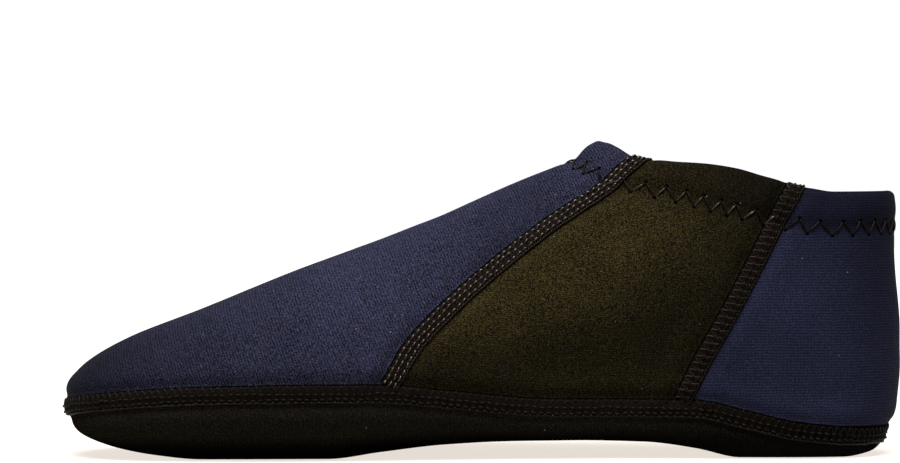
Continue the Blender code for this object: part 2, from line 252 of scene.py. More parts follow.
def all_round(stations, at_collar):
    """A closed line along the inner side from the heel forward, and back along the outer side."""
    halves = []
    for s, side in ((stations[::-1], INNER), (stations[1:-1], OUTER)):
        halves.append(upper_points(s, side, section(s, side)[2] if at_collar else 0.0))
    return np.vstack(halves)


seam_lines["sole", 0] = all_round(crowded(0.0, LENGTH, 521), False)
collar_line = all_round(crowded(COLLAR_FRONT, LENGTH, 1201), True)
print("sole seam points", len(seam_lines["sole", 0]), "collar points", len(collar_line))

# %% [markdown]
# ## Colours and the node helper
#
# Colours are written as the sRGB hex values that a colour picker shows. Blender's shaders work in linear
# light, so one function turns them. Nodes could be joined by hand in the editor, but code can be read and
# changed: one function adds a shader node, sets it, links what feeds it and hands back its output.


# %% Colour and node helpers
def colour(hex_value):
    """An sRGB hex value as linear RGBA."""
    parts = [int(hex_value[i:i + 2], 16) / 255 for i in (1, 3, 5)]
    return tuple(c / 12.92 if c <= 0.04045 else ((c + 0.055) / 1.055) ** 2.4 for c in parts) + (1.0,)


def feed(tree, node, inputs):
    """Sets a node's inputs: pairs of a socket and a value, or of a socket and the output that feeds it."""
    for socket, value in inputs:
        if isinstance(value, bpy.types.NodeSocket):
            tree.links.new(value, node.inputs[socket])
        else:
            node.inputs[socket].default_value = value


def add(tree, kind, inputs=(), out=0, **settings):
    """Adds one shader node with its settings and inputs, and gives one of its outputs."""
    made = tree.nodes.new("ShaderNode" + kind)
    for key, value in settings.items():
        setattr(made, key, value)
    feed(tree, made, inputs)
    return made.outputs[out]


def new_material(name):
    """A material with only its shader and output."""
    material = bpy.data.materials.new(name)
    material.use_nodes = True
    tree = material.node_tree
    return material, tree, tree.nodes["Principled BSDF"]


print("navy in linear light", [round(c, 4) for c in colour("#333650")[:3]])

# %% [markdown]
# ## Camera, floor and light
#
# The photograph was taken level with the shoe, from about a metre away, against white. A long lens at that
# distance gives the same slight widening of the near side. The floor stands for a light table: a sheet of
# opal acrylic lit from below, which keeps the shadows under a dark object pale. An area lamp could stand for
# the large soft box overhead, but it would leave the floor dark far away. A wide sun lamp lights it evenly as
# far as the horizon, and a bright band at the horizon of the world stands for the white backdrop all round.

# %% Camera
SEEN_WIDTH, SEEN_FROM, SEEN_MIDDLE, EYE_HEIGHT, AIM_HEIGHT = 282.0, 950.0, -10.5, 66.0, 69.2
camera_data = bpy.data.cameras.new("photo_camera")
camera_data.sensor_width = 36.0
camera_data.lens = camera_data.sensor_width * SEEN_FROM / SEEN_WIDTH
camera_data.clip_end = 100.0
camera = bpy.data.objects.new("photo_camera", camera_data)
bpy.context.scene.collection.objects.link(camera)
camera.location = (SEEN_MIDDLE * MM, -SEEN_FROM * MM, EYE_HEIGHT * MM)
aim = Vector((SEEN_MIDDLE * MM, 0.0, AIM_HEIGHT * MM))
camera.rotation_euler = (aim - camera.location).to_track_quat("-Z", "Y").to_euler()
bpy.context.scene.camera = camera
bpy.context.scene.view_settings.view_transform = "Standard"
print("lens", round(camera_data.lens, 1), "mm")


# %% Floor
def new_piece(name, points, faces, materials):
    """A smooth mesh object from points in metres and faces."""
    mesh = bpy.data.meshes.new(name)
    mesh.from_pydata(np.asarray(points, float).tolist(), [], [list(f) for f in faces])
    mesh.update()
    mesh.shade_smooth()
    for material in materials:
        mesh.materials.append(material)
    piece = bpy.data.objects.new(name, mesh)
    bpy.context.scene.collection.objects.link(piece)
    return piece


FLOOR_HALF = 30.0
# Opal acrylic scatters the light inside it. Its glow is a little warm, so shadows on it read as pale beige.
floor_finish, tree, shader = new_material("opal_acrylic_lit_from_below")
feed(tree, shader, [("Base Color", colour("#707070")), ("Roughness", 0.9), ("Specular IOR Level", 0.1),
                    ("Emission Color", colour("#FFF6EC")), ("Emission Strength", 0.78)])
corners = [(-1, -1, 0), (1, -1, 0), (1, 1, 0), (-1, 1, 0)]
floor = new_piece("floor", np.array(corners) * FLOOR_HALF, [(0, 1, 2, 3)], [floor_finish])
print("floor", floor.dimensions[:])


# %% Light
def sun(name, towards, strength, softness):
    """A sun lamp: the direction that its light goes, its strength and how wide it is in degrees."""
    lamp = bpy.data.lights.new(name, "SUN")
    lamp.energy = strength
    lamp.angle = math.radians(softness)
    holder = bpy.data.objects.new(name, lamp)
    holder.rotation_euler = Vector(towards).to_track_quat("-Z", "Y").to_euler()
    bpy.context.scene.collection.objects.link(holder)


sun("soft_key", towards=(0.04, 0.42, -1.0), strength=10.0, softness=40)
sun("soft_back", towards=(0.10, -0.45, -1.0), strength=1.2, softness=60)
world = bpy.data.worlds.new("white_studio")
bpy.context.scene.world = world
world.use_nodes = True
sky = world.node_tree
direction = add(sky, "TexCoord", out="Generated")
height = add(sky, "SeparateXYZ", [("Vector", direction)], out="Z")
band = add(sky, "MapRange", [("Value", height), ("From Min", 0.12), ("From Max", 0.35),
                             ("To Min", 1.02), ("To Max", 0.20)])
feed(sky, sky.nodes["Background"], [("Strength", band), ("Color", (1.0, 1.0, 1.0, 1.0))])

# %% [markdown]
# ## Jersey
#
# The panels are nylon jersey glued to thin foam. A jersey is knitted, so its face is fine ribs of small
# loops, and the light catches single loops as specks. The loops could be modelled, but there are far too
# many, so a material draws them. Each panel carries a "knit" attribute: how far along and how far round the
# cloth a point is, and how far from the collar edge, in millimetres. One sine along it draws the ribs, a
# second one across them breaks the ribs into loops, and noise makes the loops uneven. The same height feeds
# the bump and the colour, so the dark lines lie in the grooves. A second attribute, "tone", is a share of
# the full colour that paints light and shade: darker where cloth is folded under or turned from the light,
# paler where it faces it.

# %% Jersey maker
# Sizes in millimetres: the waviness of the ribs, the grain, the patches of paler dye and the specks of lint.
WOBBLE_MM, GRAIN_MM, PATCH_MM, LINT_RADIUS = 6.25, 0.4, 22.2, 0.17
# How far the waviness turns a rib's wave, the loops to a rib's width, and the shares of loops and patches.
WOBBLE_TURN, LOOPS_A_RIB, LOOP_SHARE, PATCH_SHARE = 5.0, 0.8, 0.35, 0.22
LINT = "#5A5648"
HEM_DEPTH = 12.0


def jersey(name, dark, light, rib_mm, relief_mm, speckle, roughness, lint_mm,
           sheen=0.0, hem_shade=1.0, shine=0.02):
    """Knitted nylon on foam: ribs broken into loops and caught by the light in specks."""
    material, tree, shader = new_material(name)
    knitted = add(tree, "Attribute", out="Vector", attribute_name="knit")
    spot = add(tree, "TexCoord", out="Object")
    noises = []
    for size, rough in ((WOBBLE_MM, 0.5), (GRAIN_MM, 0.6), (PATCH_MM, 0.5)):
        noises.append(add(tree, "TexNoise", [("Vector", spot), ("Scale", 1 / (size * MM)), ("Detail", 2.0),
                                             ("Roughness", rough)]))
    wobble, fine, broad = noises
    turn = 2 * math.pi / rib_mm
    waves = []
    for axis in ((turn, 0.0, 0.0), (0.0, turn * LOOPS_A_RIB, 0.0)):
        gone_by = add(tree, "VectorMath", [(0, knitted), (1, axis)], out="Value", operation="DOT_PRODUCT")
        phase = add(tree, "Math", [(0, wobble), (1, WOBBLE_TURN), (2, gone_by)], operation="MULTIPLY_ADD")
        waves.append(add(tree, "Math", [(0, phase)], operation="SINE"))
    loops = add(tree, "Math", [(0, waves[1]), (1, LOOP_SHARE), (2, waves[0])], operation="MULTIPLY_ADD")
    knit = add(tree, "MapRange", [("Value", loops), ("From Min", -1 - LOOP_SHARE),
                                  ("From Max", 1 + LOOP_SHARE)])
    grain = add(tree, "MapRange", [("Value", fine), ("From Min", 0.43), ("From Max", 0.72)])
    mixed = add(tree, "Mix", [(0, speckle), (2, knit), (3, grain)], data_type="FLOAT")
    patchy = add(tree, "Math", [(0, broad), (1, PATCH_SHARE), (2, mixed)], operation="MULTIPLY_ADD")
    shade = add(tree, "MapRange", [("Value", patchy), ("From Min", 0.21), ("From Max", 1.01)])
    dyed = add(tree, "Mix", [(0, shade), (6, colour(dark)), (7, colour(light))], out=2, data_type="RGBA")
    # Painted shade: the turned hem and the groove just below its stitching are darker. The cloth is also
    # darker along the collar's very edge.
    from_edge = add(tree, "SeparateXYZ", [("Vector", knitted)], out="Z")
    tones = [add(tree, "Attribute", out="Fac", attribute_name="tone")]
    for near, far, first in ((HEM_DEPTH - 1.5, HEM_DEPTH + 5.0, hem_shade), (0.2, 1.6, 0.35)):
        tones.append(add(tree, "MapRange", [("Value", from_edge), ("From Min", near), ("From Max", far),
                                            ("To Min", first)]))
    toned = dyed
    for tone in tones:
        toned = add(tree, "VectorMath", [(0, toned), ("Scale", tone)], operation="SCALE")
    specks = add(tree, "TexVoronoi", [("Vector", spot), ("Scale", 1 / (lint_mm * MM))], out="Distance")
    fluff = add(tree, "Math", [(0, specks), (1, LINT_RADIUS / lint_mm)], operation="LESS_THAN")
    linted = add(tree, "Mix", [(0, fluff), (6, toned), (7, colour(LINT))], out=2, data_type="RGBA")
    height = add(tree, "Mix", [(0, speckle * 0.8), (2, knit), (3, grain)], data_type="FLOAT")
    bump = add(tree, "Bump", [("Height", height), ("Strength", 0.7), ("Distance", relief_mm * MM)])
    # Knitted loops scatter most of the shine, so little of it is left.
    feed(tree, shader, [("Base Color", linted), ("Normal", bump), ("Roughness", roughness),
                        ("Specular IOR Level", shine), ("Sheen Weight", sheen), ("Sheen Roughness", 0.5)])
    return material


print("jersey grain", GRAIN_MM, "mm, lint specks", 2 * LINT_RADIUS, "mm across")

# %% [markdown]
# ## The jerseys
#
# All five cloths are one kind of knit, so one function makes them, and a separate node tree for each isn't
# needed. They differ in dye, in the direction and depth of the ribs, in lint, and in how much painted shade
# their hems get. Real ribs of such a jersey are about half a millimetre apart. That is too fine to show in
# the render, so they are drawn nearly a millimetre apart.

# %% Jersey colours
# Navy: dark in the grooves and violet-grey on the crowns of the ribs, as dyed nylon is under a soft box.
navy_vamp = jersey("navy_nylon_jersey_ribbed", "#020205", "#2E2F43", rib_mm=0.88, relief_mm=0.20,
                   speckle=0.72, roughness=0.75, lint_mm=6.5)
# The heel's cloth is turned a quarter, so its ribs run level. Its hem takes less light.
navy_heel = jersey("navy_nylon_jersey_level", "#090A11", "#1C1E31", rib_mm=0.86, relief_mm=0.10,
                   speckle=0.58, roughness=0.78, lint_mm=6.5, hem_shade=0.54)
# Black: the dye is brown-black, the grain of the loops hides the ribs, and painted shade leaves it palest
# above the arch.
black_side = jersey("black_nylon_jersey_grained", "#040300", "#332B15", rib_mm=0.9, relief_mm=0.2,
                    speckle=0.85, roughness=0.75, lint_mm=5.5, hem_shade=0.55)
# The sole's cloth is backed with rubber, so it is smoother and blacker.
black_sole = jersey("black_rubber_backed_jersey", "#090806", "#1D1A15", rib_mm=1.1, relief_mm=0.15,
                    speckle=0.88, roughness=0.7, lint_mm=9.0, shine=0.0)
# The lining is brushed: hardly any ribs, and a little down that takes the light.
black_lining = jersey("black_brushed_jersey_lining", "#0A0908", "#211E1A", rib_mm=1.2, relief_mm=0.25,
                      speckle=0.8, roughness=0.9, lint_mm=25.0, sheen=0.03)
print("jerseys", [m.name for m in (navy_vamp, navy_heel, black_side, black_sole, black_lining)])

# %% [markdown]
# ## How the cloth lies
#
# Foam-backed jersey is springy. A flat seam pulls it down in a ditch along each edge of the thread, and the
# foam stands up a little beside it. The turned collar is rounded like a fold and pressed flat where it is
# stitched down. A cloth simulation could find such forms, but they are under a millimetre and follow the
# seams, so they are worked out for each point from its distance to the seams.

# %% Distances to seams
COLLAR_STEP, SEAM_STEP = 0.08, 0.4
HEM = table("station depth", [
    (166.8, 12.3), (172.0, 11.6), (180.0, 10.2), (206.0, 13.2), (223.0, 12.4), (252.0, 11.1), (260.0, 11.1),
])


def hem_at(points):
    """How far below the collar edge the hem is stitched down, at the stations of these points."""
    return smooth_curve(HEM["station"], HEM["depth"], points[:, 0] - SHOE_TO_FRAME[0])


def tree_of(points):
    """A search tree over points."""
    found = kdtree.KDTree(len(points))
    for index, point in enumerate(points):
        found.insert(Vector(point), index)
    found.balance()
    return found


def distances(tree, points):
    """How far each point is from the nearest one in a tree."""
    return np.array([tree.find(Vector(p))[2] for p in points])


def dense(line, step, closed):
    """The same line with points at an even step."""
    line = np.vstack([line, line[:1]]) if closed else np.asarray(line)
    length = np.concatenate([[0.0], np.cumsum(np.linalg.norm(np.diff(line, axis=0), axis=1))])
    count = max(2, int(round(length[-1] / step)) + 1)
    at = np.linspace(0, length[-1], count)
    points = np.column_stack([np.interp(at, length, line[:, axis]) for axis in range(3)])
    return points[:-1] if closed else points


seam_trees = {key: tree_of(dense(line, SEAM_STEP, key[0] == "sole")) for key, line in seam_lines.items()}
collar_points = dense(collar_line, COLLAR_STEP, True)
collar_tree = tree_of(collar_points)
print("collar round", round(COLLAR_STEP * len(collar_points), 1), "mm")

# %% [markdown]
# ## Creases
#
# A worn slipper keeps a few soft folds and hollows. They could be sculpted, but a table of them can be read
# and changed: a start and an end seen from the side, a depth that is negative for a trough, and a width. They
# are the same on both sides of the shoe. The deepest is the hollow in front of the ankle, where the side
# panel bridges the arch.

# %% Crease table
CREASES = [
    # name, start station and height, end station and height, depth, width
    ("arch_hollow", (150.0, 34.0), (182.0, 30.0), -0.9, 14.0),
    ("ball_swell", (70.0, 34.0), (92.0, 36.0), 0.6, 14.0),
    ("instep_flex", (118.0, 68.0), (128.0, 56.0), -0.35, 6.0),
    ("ankle_pull", (188.0, 74.0), (206.0, 58.0), -0.45, 7.0),
    ("ankle_fold", (182.0, 70.0), (198.0, 54.0), 0.4, 6.0),
    ("heel_tuck", (248.0, 34.0), (260.0, 34.0), -0.5, 14.0),
    ("heel_dip", (236.0, 62.0), (256.0, 62.0), -0.5, 9.0),
    ("collar_lip", (165.0, 97.0), (168.0, 97.0), 0.6, 7.0),
    ("ridge_loft", (8.0, 30.0), (158.0, 91.0), 0.45, 12.0),
]
print("creases", [crease[0] for crease in CREASES])

# %% Lie of the cloth
# Beside a line of stitches the foam stands up or is pulled down: height, distance from the line, width.
SEAM_FORMS = ((0.45, 7.0, 3.2), (-0.42, 3.5, 1.3))
HEM_FORMS = ((0.35, 6.0, 3.5), (-0.5, HEM_DEPTH, 2.2))
# Foam is never quite even: the height of its waves, and how many there are to a millimetre.
UNEVEN_HEIGHT, UNEVEN_A_MM = 0.22, 0.055


def swell(away, forms):
    """How far cloth is raised or pressed at a distance from a line, by soft ridges and troughs."""
    return sum(height * np.exp(-((away - middle) / width) ** 2) for height, middle, width in forms)


def crease_shift(points):
    """How far the listed creases move each point along its normal."""
    shift = np.zeros(len(points))
    flat = points[:, [0, 2]] - SHOE_TO_FRAME[[0, 2]]
    for _, start, end, depth, width in CREASES:
        a, b = np.array(start), np.array(end)
        t = np.clip(((flat - a) @ (b - a)) / ((b - a) @ (b - a)), 0, 1)
        away = np.linalg.norm(flat - a - t[:, None] * (b - a), axis=1)
        shift += swell(away, [(depth, 0.0, width)])
    return shift


def unevenness(points, waves_a_mm):
    """Smooth noise at each point, from about -1 to 1."""
    return np.array([noise.noise(Vector(p) * waves_a_mm) for p in points])


def lie(points):
    """How far each point of the cloth stands out of the last, and its depth as if the hem were 12 mm deep."""
    shift = crease_shift(points)
    for tree in seam_trees.values():
        shift += swell(distances(tree, points), SEAM_FORMS)
    depth = distances(collar_tree, points) * HEM_DEPTH / hem_at(points)
    shift += swell(depth, HEM_FORMS)
    return shift + UNEVEN_HEIGHT * unevenness(points, UNEVEN_A_MM), depth


print("deepest in the ditch beside a seam", round(float(swell(3.5, SEAM_FORMS)), 2), "mm")

# %% [markdown]
# ## Panels
#
# A real panel is a flat cut sheet. Each panel here is a grid of points on the last between its seams, moved
# by the rules above. The inside is the same grid moved in along its normals by the wall, so the shoe stays
# hollow. At the collar the wall is the turned hem, and it closes in a half round. A Solidify modifier could
# thicken a panel, but it can't make that fold, so the two skins are made here and joined round the edge.


# %% Grids
def spaced(sizes):
    """Shares from 0 to 1 with steps in these proportions."""
    at = np.concatenate([[0.0], np.cumsum(sizes)])
    return at / at[-1]


def grid_faces(columns, rows, turned):
    """Faces of a grid, numbered column by column."""
    column, row = np.meshgrid(np.arange(columns - 1), np.arange(rows - 1), indexing="ij")
    near = (column * rows + row).ravel()
    faces = np.column_stack([near, near + 1, near + rows + 1, near + rows])
    return faces[:, ::-1] if turned else faces


def gone(points, axis):
    """How far each point of a grid is along its rows or columns, in millimetres."""
    steps = np.linalg.norm(np.diff(points, axis=axis), axis=2)
    return np.cumsum(np.insert(steps, 0, 0.0, axis=axis), axis=axis)


# The steps get finer toward the sole seam and the collar.
COLLAR_STEPS = [0.75] * 16 + [0.5, 0.45, 0.4, 0.35, 0.25, 0.17, 0.1]
ROWS = spaced([0.6] * 16 + [1.2] * 42 + COLLAR_STEPS)
print("rows up a panel:", len(ROWS))

# %% Skins
WELD = 0.002


def weld(points, faces):
    """Joins points that lie together, and drops faces that shrink to a line."""
    keys, index = np.unique(np.round(points / WELD).astype(int), axis=0, return_inverse=True)
    index = index.ravel()
    joined = np.zeros((len(keys), 3))
    joined[index] = points
    kept = [list(dict.fromkeys(f)) for f in index[faces].tolist()]
    return joined, [f for f in kept if len(f) > 2], index


def normals_of(points, faces):
    """Smooth normals of a mesh."""
    mesh = bpy.data.meshes.new("normals")
    mesh.from_pydata(points.tolist(), [], faces)
    found = np.zeros(len(points) * 3)
    mesh.vertex_normals.foreach_get("vector", found)
    bpy.data.meshes.remove(mesh)
    return found.reshape(-1, 3)


def border_of(faces):
    """Edges that only one face has, in the direction of that face."""
    seen = {}
    for face in faces:
        for a, b in zip(face, face[1:] + face[:1]):
            seen[a, b] = True
    return [(a, b) for a, b in seen if (b, a) not in seen]


def shell(name, outside, inside, faces, knit, tone, materials, inner_slots):
    """A closed piece from an outer and an inner skin with the same faces, joined round their edge."""
    count = len(outside)
    rim = [(b, a, a + count, b + count) for a, b in border_of(faces)]
    inner = [[i + count for i in reversed(f)] for f in faces]
    piece = new_piece(name, np.vstack([outside, inside]) * MM, [*faces, *inner, *rim], materials)
    slots = np.concatenate([np.zeros(len(faces)), inner_slots, np.zeros(len(rim))]).astype(np.int32)
    piece.data.polygons.foreach_set("material_index", slots)
    layer = piece.data.attributes.new("knit", "FLOAT_VECTOR", "POINT")
    layer.data.foreach_set("vector", np.vstack([knit, knit]).astype(np.float32).ravel())
    layer = piece.data.attributes.new("tone", "FLOAT", "POINT")
    layer.data.foreach_set("value", np.concatenate([tone, np.ones(count)]).astype(np.float32))
    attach(piece, "root")
    return piece


# %% Wall and tone
HEM_WALL, WALL, HEM_END, THINNEST = 4.2, 2.6, 1.2, 0.04


def wall_at(depth):
    """Thickness of the wall below the collar edge: a half round, the turned hem, then one layer."""
    radius = HEM_WALL / 2
    half_fold = np.sqrt(radius ** 2 - np.clip(radius - depth, 0, radius) ** 2)
    fold = np.maximum(2 * half_fold, THINNEST)
    turned = np.clip((HEM_DEPTH + HEM_END / 2 - depth) / HEM_END, 0, 1)
    return np.minimum(fold, WALL + (HEM_WALL - WALL) * turned)


def ramp(value, start, end, first):
    """A smooth rise from a first tone at the start to a full tone at the end."""
    t = np.clip((value - start) / (end - start), 0, 1)
    return first + (1 - first) * t * t * (3 - 2 * t)


print("wall mm at the edge, in the hem and below it", wall_at(np.array([0.0, 6.0, 20.0])).round(2))

# %% Panel maker
last_skins, outer_skins, inner_skins = [], [], []
EVEN_FROM = 0.8


def rising(ways):
    """Shares of the way up a seam that rise evenly over its last part, for columns away from that seam."""
    share = ways / ways[-1]
    turn = int(np.argmax(share > EVEN_FROM))
    even = share[turn] + (1 - share[turn]) * (ROWS - ROWS[turn]) / (1 - ROWS[turn])
    return np.where(np.arange(len(share)) < turn, share, even)


def make_panel(name, sides, grid_at, knit_at, painted_shade_at, cloth):
    """One panel of the upper on the sides that it covers."""
    points, faces, knit, rim = [], [], [], []
    for side in sides:
        stations, ways = grid_at(side)
        made = upper_points(stations, side, ways)
        faces.append(grid_faces(*stations.shape, side == INNER) + sum(len(p) for p in points))
        points.append(made)
        knit.append(knit_at(made.reshape(*stations.shape, 3), side).reshape(-1, 2))
        rim.append(((ROWS[None, :] == 1) & (stations >= COLLAR_FRONT - 1e-6)).ravel())
    joined, kept, index = weld(np.vstack(points), np.vstack(faces))
    on_rim, cloth_at = np.zeros(len(joined), bool), np.zeros((len(joined), 3))
    on_rim[index], cloth_at[index, :2] = np.concatenate(rim), np.vstack(knit)
    out = normals_of(joined, kept)
    shift, depth = lie(joined)
    depth[on_rim] = 0.0
    cloth_at[:, 2] = depth
    thick = wall_at(depth)
    inward = np.where(depth < HEM_WALL / 2, (HEM_WALL - thick) / 2, 0.0)
    outside = joined + out * (shift - inward)[:, None]
    inside = outside - out * thick[:, None]
    lined = np.array([depth[f].mean() > HEM_DEPTH for f in kept])
    tone = painted_shade_at(joined[:, 0] - SHOE_TO_FRAME[0], joined[:, 2])
    piece = shell(name, outside, inside, kept, cloth_at, tone, [cloth, black_lining], lined)
    last_skins.append((joined, kept))
    outer_skins.append((outside, kept))
    inner_skins.append((inside, [f[::-1] for f in kept]))
    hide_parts("upper")
    print(name, len(piece.data.polygons), "faces")


print("rows rise evenly above", EVEN_FROM, "of a panel's height")

# %% [markdown]
# ## The four panels
#
# The vamp is cut in one piece over the toes, so both of its sides are made together and welded along the
# ridge. The heel panel is made the same way, and the side panels are two separate pieces. Each panel has a
# grid, a direction for its knit and a tone. The vamp's columns crowd together at the toe tip, where the
# outline turns square, and one column runs exactly to the front of the collar, so the throat stays crisp.
#
# The cloth's colour carries painted shade: it is darker where the cloth turns from the light, such as toward
# the toe, low on the sides and round the back of the heel. A painted picture could show that, but a few
# smooth ramps along the shoe give the same soft change and stay sharp at any size. Their numbers are stations
# and heights in millimetres, then the tone that a ramp starts from.

# %% Vamp
TOE_COLUMNS, TOE_TURN, FRONT_COLUMNS = 170, math.radians(98), 22
RIB_WAY = np.array([0.927, 0.0, 0.375])


def vamp_grid(side):
    """Stations and ways up the sections for the vamp's columns, from the toe tip to its seam."""
    edge, ways = seam_path(VAMP_SEAM, side, ROWS)
    toe_end = COLLAR_FRONT - sum(COLLAR_STEPS)
    toe_part = toe_end * (1 - np.cos(np.linspace(0, TOE_TURN, TOE_COLUMNS))) / (1 - math.cos(TOE_TURN))
    ridge_part = toe_end + np.cumsum(COLLAR_STEPS)
    ridge_part[-1] = COLLAR_FRONT
    steps = (np.arange(1, FRONT_COLUMNS + 1) / FRONT_COLUMNS) ** 2
    collar_part = COLLAR_FRONT + (edge[-1] - COLLAR_FRONT) * steps
    tops = np.concatenate([toe_part, ridge_part, collar_part])
    near = np.clip((tops - COLLAR_FRONT) / (edge[-1] - COLLAR_FRONT), 0, 1)[:, None]
    share = (1 - near) * rising(ways) + near * ways / ways[-1]
    return tops[:, None] * edge / edge[-1], section(tops, side)[2][:, None] * share


def vamp_knit(points, side):
    """Ribs that slant across the vamp."""
    down = gone(points[:, ::-1], 1)[:, ::-1]
    return np.dstack([points @ RIB_WAY, side * down])


def vamp_painted_shade(station, height):
    """Painted shade: darker toward the toe and the sole seam, and in a band just below the ridge over the
    instep.
    """
    below_ridge = ramp(station, 118, 134, 0.0) * ramp(station, 158, 144, 0.0)
    below_ridge *= ramp(read(CREST, "height", station) - height, 0, 6, 0.0)
    slanting = RIB_WAY[0] * station + RIB_WAY[2] * height
    return ramp(slanting, -2, 100, 0.40) * ramp(height, 22, 46, 0.82) * (1 - 0.28 * below_ridge)


make_panel("vamp_panel", (INNER, OUTER), vamp_grid, vamp_knit, vamp_painted_shade, navy_vamp)

# %% Side panels
SIDE_COLUMNS = spaced([0.6] * 14 + [1.2] * 36 + [0.6] * 14)


def side_grid(side):
    """Stations and ways up the sections for a side panel's columns, from seam to seam."""
    (front, front_ways), (back, back_ways) = (seam_path(line, side, ROWS) for line in (VAMP_SEAM, HEEL_SEAM))
    part = SIDE_COLUMNS[:, None]
    stations = front + part * (back - front)
    share = (1 - part) * front_ways / front_ways[-1] + part * back_ways / back_ways[-1]
    return stations, section(stations[:, -1], side)[2][:, None] * share


def side_knit(points, side):
    """Ribs that run level along a side panel."""
    return np.dstack([gone(points, 1), points[:, :, 0]])


def side_painted_shade(station, height):
    """Painted shade: palest in front and above, as far as an ellipse round the arch and the ankle, and darker
    beyond it.
    """
    ahead, low = np.clip((station - 110) / 82, 0, None), np.clip((75 - height) / 38, 0, None)
    return ramp((ahead ** 1.8 + low ** 1.8) ** (1 / 1.8), 1.32, 0.80, 0.36)


for side, word in SIDES:
    make_panel(f"side_panel_{word}", (side,), side_grid, side_knit, side_painted_shade, black_side)

# %% Heel panel
HEEL_COLUMNS = 66


def heel_grid(side):
    """Stations and ways up the sections for the heel panel's columns, from its seam to the back line."""
    front, ways = seam_path(HEEL_SEAM, side, ROWS)
    part = np.sin(np.linspace(0, np.pi / 2, HEEL_COLUMNS))[:, None]
    stations = front + part * (LENGTH - front)
    share = (1 - part) * ways / ways[-1] + part * rising(ways)
    return stations, section(stations[:, -1], side)[2][:, None] * share


def heel_knit(points, side):
    """Ribs that run level round the heel."""
    round_heel = gone(points[::-1], 0)[::-1]
    return np.dstack([points[:, :, 2], side * round_heel])


def heel_painted_light_and_shade(station, height):
    """Painted light and shade: between about 30 and 84 mm up it is paler toward its seam and darker round the
    back above the heel bone, and it is paler just above the sole.
    """
    above = ramp(height, 30, 58, 0.0) * ramp(height, 84, 72, 0.0)
    below = 0.97 + 0.25 * ramp(height, 22, 10, 0.0)
    return (1 - above) * below + above * 1.2 * ramp(station, 254, 216, 0.5)


make_panel("heel_panel", (INNER, OUTER), heel_grid, heel_knit, heel_painted_light_and_shade, navy_heel)

# %% [markdown]
# ## The sole
#
# The sole is one soft sheet of rubber-backed cloth, drawn up the sides like a shallow tray. It lies flat
# under the ball and the heel and lifts off the floor at the toe and under the arch. A box with rounded edges
# could not follow that, so it is made as the panels are: an outside grid, the same grid moved in by its
# thickness, and a rim under the seam. Its section goes round a corner, then flat to the middle line.

# %% Sole outline
CORNER_SAMPLES = 80


def walk(across, upward, share):
    """Points at these shares of the length of many curves."""
    t = np.linspace(0, 1, CORNER_SAMPLES)
    y, z = (cubic([v[:, None] for v in values], t) for values in (across, upward))
    length = np.cumsum(np.pad(np.hypot(np.diff(y), np.diff(z)), ((0, 0), (1, 0))), axis=1)
    want, row = share * length[:, -1], np.arange(len(share))
    i = np.clip((length < want[:, None]).sum(axis=1) - 1, 0, CORNER_SAMPLES - 2)
    part = (want - length[row, i]) / np.maximum(length[row, i + 1] - length[row, i], 1e-9)
    return [v[row, i] + part * (v[row, i + 1] - v[row, i]) for v in (y, z)]


def sole_points(station, side, share):
    """Points of the sole's outside: shares 0 to 1 go round its corner, 1 to 2 go flat to the middle line."""
    s, v = (np.ravel(a).astype(float) for a in np.broadcast_arrays(station, share))
    half, middle, tuck = read(PLAN, "half", s), read(PLAN, "middle", s), read(SOLE, "tuck", s)
    foot_y, foot_z = middle + side * half * (1 - tuck), read(SOLE, "seam", s)
    inner, outer = read(SOLE, "inner", s), read(SOLE, "outer", s)
    under = inner if side == INNER else outer
    flat_y = middle + side * FLAT_SHARE * half
    across = (foot_y, foot_y, flat_y + CORNER_FULLNESS * (foot_y - flat_y), flat_y)
    downward = (foot_z, foot_z - CORNER_FULLNESS * (foot_z - under), under, under)
    y, z = walk(across, downward, np.clip(v, 0, 1))
    flat = np.clip(v - 1, 0, 1)
    return place(s, y + flat * (middle - flat_y), z + flat * ((inner + outer) / 2 - under))


SOLE_COLUMNS = 250
SOLE_ROWS = np.concatenate([spaced([0.6] * 14 + [1.2] * 18), 1 + spaced([1.5] * 18)[1:]])
sole_stations = crowded(0.0, LENGTH, SOLE_COLUMNS)
sheets = [sole_points(sole_stations[:, None], side, SOLE_ROWS[None, :]) for side in (INNER, OUTER)]
layout = [grid_faces(SOLE_COLUMNS, len(SOLE_ROWS), side == OUTER) for side in (INNER, OUTER)]
points, faces, index = weld(np.vstack(sheets), np.vstack([layout[0], layout[1] + len(sheets[0])]))
print("sole grid", len(points), "points")

# %% Sole tray
SOLE_WALL = 3.4
SOLE_FORMS = ((0.5, 7.5, 3.2), (-0.45, 3.5, 1.3))
SOLE_UNEVEN_HEIGHT, SOLE_UNEVEN_A_MM = 0.3, 0.05
LIFT_START, LIFT_RISE = 1.0, 6.0
# Its ribs run across the shoe, and all of it is far from the collar's hem.
knit = np.zeros_like(points)
knit[:, 2] = 2 * HEM_DEPTH
for side, sheet, members in zip((INNER, OUTER), sheets, np.split(index, 2)):
    grid = sheet.reshape(SOLE_COLUMNS, len(SOLE_ROWS), 3)
    knit[members, 0], knit[members, 1] = sheet[:, 0], side * gone(grid[:, ::-1], 1)[:, ::-1].ravel()
# Painted shade: the cloth is blackest low down where it is folded under, following the lift under the arch,
# and it is evenly darker round the heel.
station = np.clip(points[:, 0] - SHOE_TO_FRAME[0], 0, LENGTH)
arch = np.where((station > 82) & (station < 208), 0.5 * read(SOLE, "inner", station), 0.0)
heel_part = ramp(station, 165, 215, 0.0)
tone = (1 - heel_part) * ramp(points[:, 2] - arch, 2.5, 8.5, 0.10) + heel_part * 0.42
